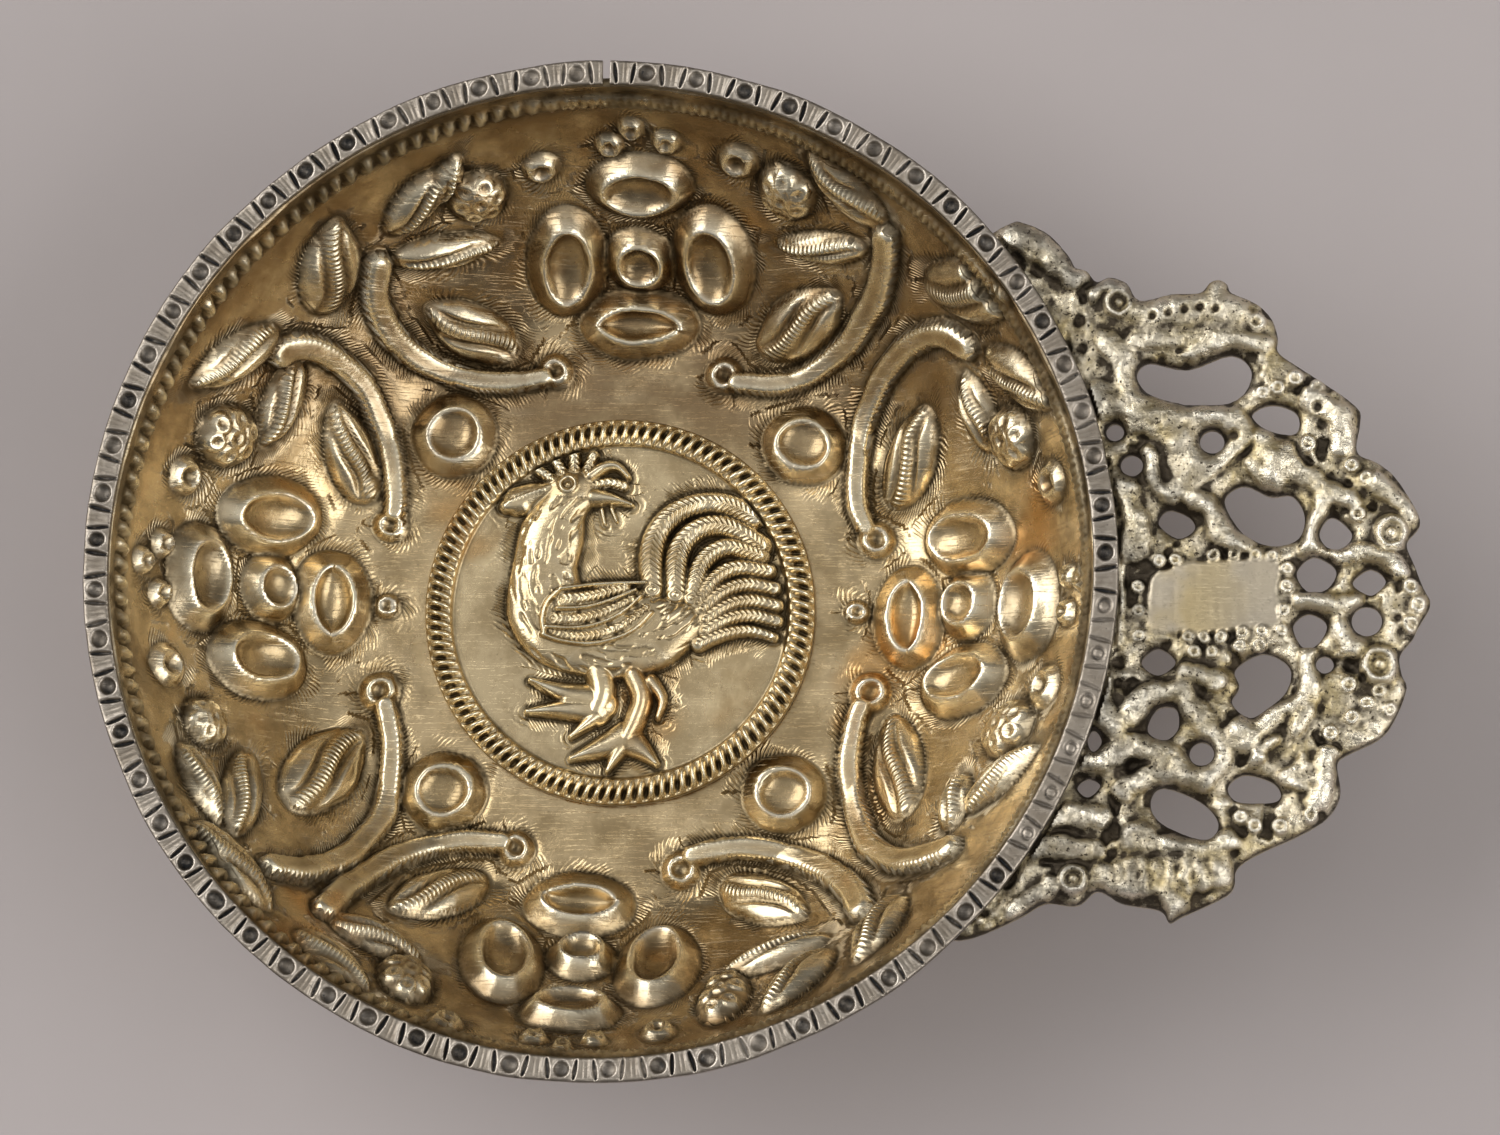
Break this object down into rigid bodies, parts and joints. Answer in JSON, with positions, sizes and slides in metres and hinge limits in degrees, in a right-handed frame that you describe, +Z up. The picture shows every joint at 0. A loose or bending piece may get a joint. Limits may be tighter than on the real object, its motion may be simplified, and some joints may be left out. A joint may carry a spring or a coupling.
{
  "type": "charka",
  "caption": "Shallow round silver-gilt dram cup with a chased inside, a cockerel roundel on its floor, a stamped lip strip and a flat cast openwork handle.",
  "frame": {"origin": "middle of the flat base, on the surface the cup stands on", "axes": "+Z up out of the bowl, +X along the handle"},
  "size_m": [0.1195, 0.092, 0.0251],
  "materials": {
    "gilt_sheet": "worn gilding over chased silver sheet, dark in the recesses",
    "gilt_roundel": "worn gilding over chased silver, dark in the recesses",
    "silver_strip": "stamped silver strip, grey tarnish in the dents",
    "cast_silver": "pitted cast silver with remains of gilding and black tarnish"
  },
  "bodies": {
    "root": {"bowl": "gilt_sheet", "roundel": "gilt_roundel", "rim_strip": "silver_strip", "handle": "cast_silver"}
  },
  "joints": []
}
